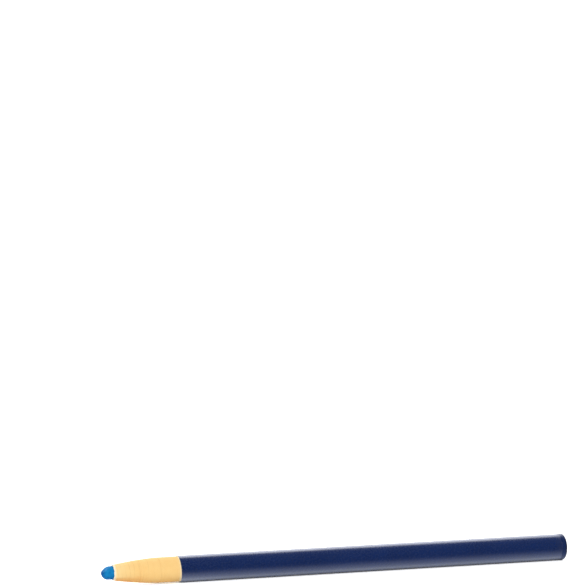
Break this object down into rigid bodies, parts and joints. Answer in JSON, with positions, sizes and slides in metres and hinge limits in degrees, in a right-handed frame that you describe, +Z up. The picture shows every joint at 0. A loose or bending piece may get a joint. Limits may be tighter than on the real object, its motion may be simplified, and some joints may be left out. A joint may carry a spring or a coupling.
{
  "type": "china marker",
  "caption": "Round peel-off china marker: a soft blue wax core in a tapered roll of peelable paper ribbons, under a navy coated paper cover with a sealed tail.",
  "frame": {"origin": "on the surface that the marker lies on, below the middle of its length", "axes": "+X along the marker from its nib towards its tail, +Z up, +Y to the side away from the pictured one"},
  "size_m": [0.178, 0.0098, 0.0097],
  "materials": {
    "blue_wax": "waxy satin",
    "kraft_paper": "matte, ground",
    "coated_paper": "semi-gloss coated",
    "cotton_thread": "twisted",
    "navy_lacquer": "gloss"
  },
  "bodies": {
    "barrel": {"wax_core": "blue_wax", "peel_ribbon_04": "kraft_paper", "peel_ribbon_05": "kraft_paper", "peel_ribbon_06": "kraft_paper", "peel_ribbon_07": "kraft_paper", "peel_ribbon_08": "kraft_paper", "peel_ribbon_09": "kraft_paper", "peel_ribbon_10": "kraft_paper", "peel_ribbon_11": "kraft_paper", "peel_ribbon_12": "kraft_paper", "peel_ribbon_13": "kraft_paper", "peel_ribbon_14": "kraft_paper", "peel_ribbon_15": "kraft_paper", "peel_ribbon_16": "kraft_paper", "peel_ribbon_17": "kraft_paper", "peel_ribbon_18": "kraft_paper", "peel_ribbon_19": "kraft_paper", "peel_ribbon_20": "kraft_paper", "tail_roll": "kraft_paper", "coated_cover": "coated_paper", "tail_dip": "navy_lacquer"},
    "ribbon_1": {"peel_ribbon_01": "kraft_paper"},
    "ribbon_2": {"peel_ribbon_02": "kraft_paper"},
    "ribbon_3": {"peel_ribbon_03": "kraft_paper"},
    "thread": {"pull_thread": "cotton_thread"}
  },
  "joints": [
    {"name": "peel_off_3", "type": "slide", "parent": "barrel", "child": "ribbon_3", "axis": [-1, 0, 0], "range_m": [0, 0.0306]},
    {"name": "peel_off_2", "type": "slide", "parent": "ribbon_3", "child": "ribbon_2", "axis": [-1, 0, 0], "range_m": [0, 0.023]},
    {"name": "peel_off_1", "type": "slide", "parent": "ribbon_2", "child": "ribbon_1", "axis": [-1, 0, 0], "range_m": [0, 0.0154]},
    {"name": "thread_pull", "type": "slide", "parent": "barrel", "child": "thread", "axis": [-1, 0, 0], "range_m": [0, 0.0076]}
  ]
}
